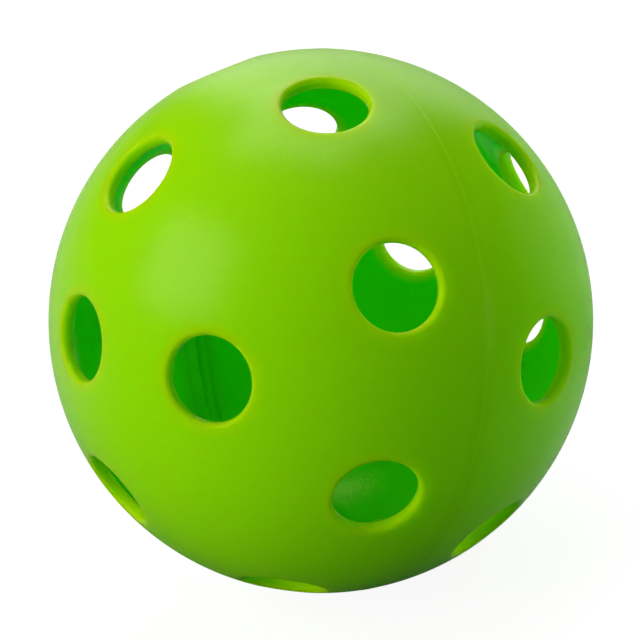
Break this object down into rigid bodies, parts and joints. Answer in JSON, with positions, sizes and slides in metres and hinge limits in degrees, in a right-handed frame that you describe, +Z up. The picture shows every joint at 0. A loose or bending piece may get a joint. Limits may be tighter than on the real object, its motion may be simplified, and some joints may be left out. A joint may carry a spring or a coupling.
{
  "type": "pickleball",
  "caption": "Hollow lime-green plastic ball for paddle play, moulded as two like half shells with round-rimmed air holes and butt welded along its equator, with weld flash inside.",
  "frame": {"origin": "centre of the ball", "axes": "+Z up, straight away from the hole whose rim the ball stands on; -Y is the front, the side that the picture shows, and the left half lies towards -X"},
  "size_m": [0.074, 0.074, 0.0735],
  "materials": {
    "left_shell": "satin, slightly translucent polyethylene",
    "right_shell": "satin, slightly translucent polyethylene",
    "weld": "smooth melted polyethylene"
  },
  "bodies": {
    "root": {"left_half_shell": "left_shell", "right_half_shell": "right_shell", "weld_bead": "weld"}
  },
  "joints": []
}
